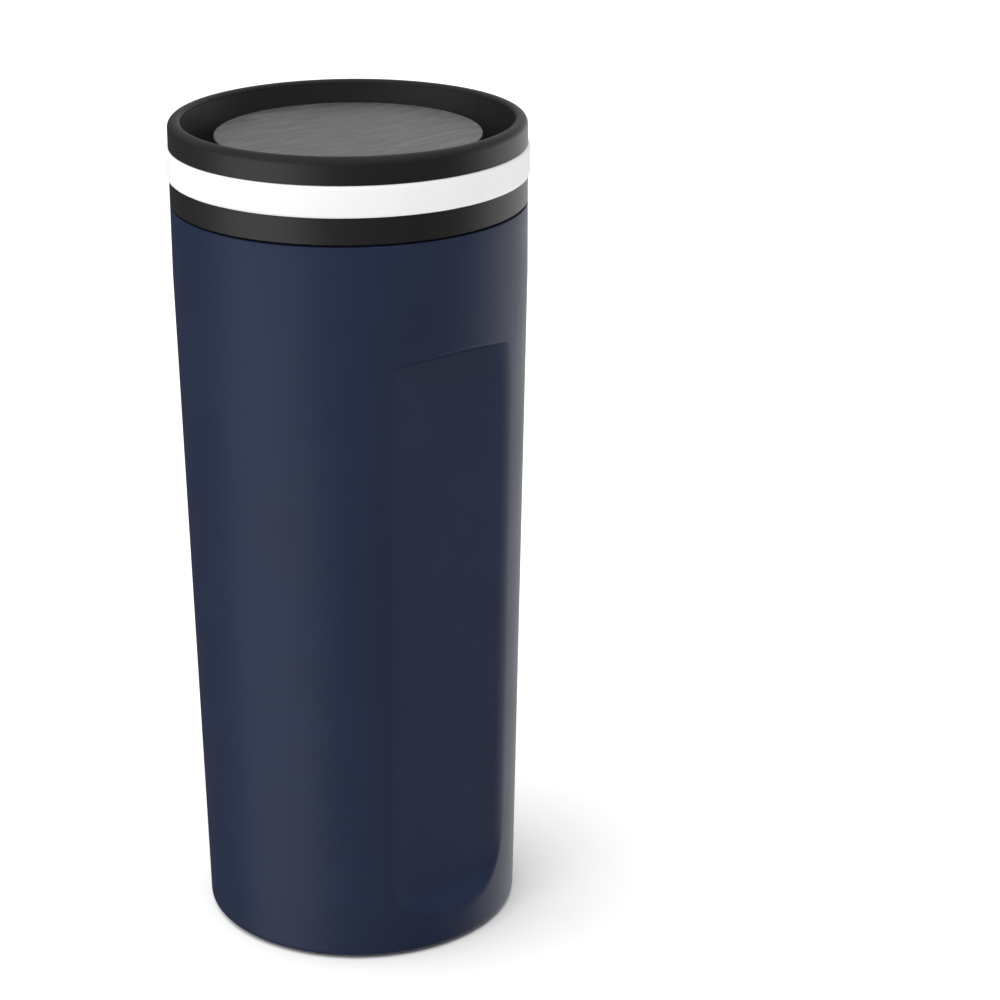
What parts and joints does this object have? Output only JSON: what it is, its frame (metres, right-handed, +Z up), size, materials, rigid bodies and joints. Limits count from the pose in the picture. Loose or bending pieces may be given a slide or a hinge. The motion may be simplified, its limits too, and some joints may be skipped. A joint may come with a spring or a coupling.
{
  "type": "insulated tumbler with push-button lid",
  "caption": "Tapered insulated drinking tumbler with flat grip faces, a screw-on lid and a push-button valve that pours over the whole rim.",
  "frame": {"origin": "centre of the foot's face on the ground", "axes": "+Z up along the cup's axis; the grip flats face -Y and +Y"},
  "size_m": [0.0802, 0.0802, 0.19],
  "materials": {
    "navy_shell": "soft-touch satin, fine grain",
    "black_plastic": "satin moulded",
    "white_silicone": "matt silicone",
    "brushed_steel": "straight brushed",
    "liner_steel": "spun and brushed",
    "white_plastic": "satin moulded",
    "clear_silicone": "translucent silicone",
    "acetal": "natural acetal",
    "fastener_steel": "plain stainless",
    "black_rubber": "matt rubber"
  },
  "bodies": {
    "cup": {"outer_shell": "navy_shell", "inner_liner": "liner_steel", "neck_collar": "black_plastic", "liner_seal": "clear_silicone", "base_plate": "white_plastic", "base_seal": "black_rubber", "base_badge": "white_plastic", "liner_pad": "clear_silicone"},
    "gasket": {"lid_gasket": "clear_silicone"},
    "lid": {"lid_shell": "black_plastic", "grip_band": "white_silicone", "seat_ring": "black_plastic", "cam_housing": "acetal", "housing_screws": "fastener_steel", "stem_wiper": "black_rubber", "spring_washer": "fastener_steel", "plunger_spring": "fastener_steel"},
    "button": {"button_plate": "brushed_steel", "button_cap": "black_plastic", "cap_screw": "fastener_steel", "plunger_stem": "acetal", "rotor_clip": "fastener_steel", "valve_disc": "black_plastic", "valve_seal": "clear_silicone", "valve_screw": "fastener_steel"},
    "rotor": {"cam_rotor": "acetal"}
  },
  "joints": [
    {"name": "lid_lift", "type": "slide", "parent": "cup", "child": "gasket", "axis": [0, 0, 1], "range_m": [0, 0.03]},
    {"name": "lid_turn", "type": "hinge", "parent": "gasket", "child": "lid", "pos_m": [0, 0, 0.171], "axis": [0, 0, 1], "range_deg": [0, 450.5]},
    {"name": "button_press", "type": "slide", "parent": "lid", "child": "button", "axis": [0, 0, -1], "range_m": [0, 0.0055], "stiffness_N_per_m": 1000, "springref_m": -0.008, "deforming": ["plunger_spring"]},
    {"name": "rotor_turn", "type": "hinge", "parent": "button", "child": "rotor", "pos_m": [0, 0, 0.176], "axis": [0, 0, 1], "range_deg": [0, 25]}
  ],
  "couplings": [
    {"joint": "lid_turn", "follows": "lid_lift", "rad_per_m": 261.8},
    {"joint": "rotor_turn", "follows": "button_press", "rad_per_m": 78.54}
  ]
}
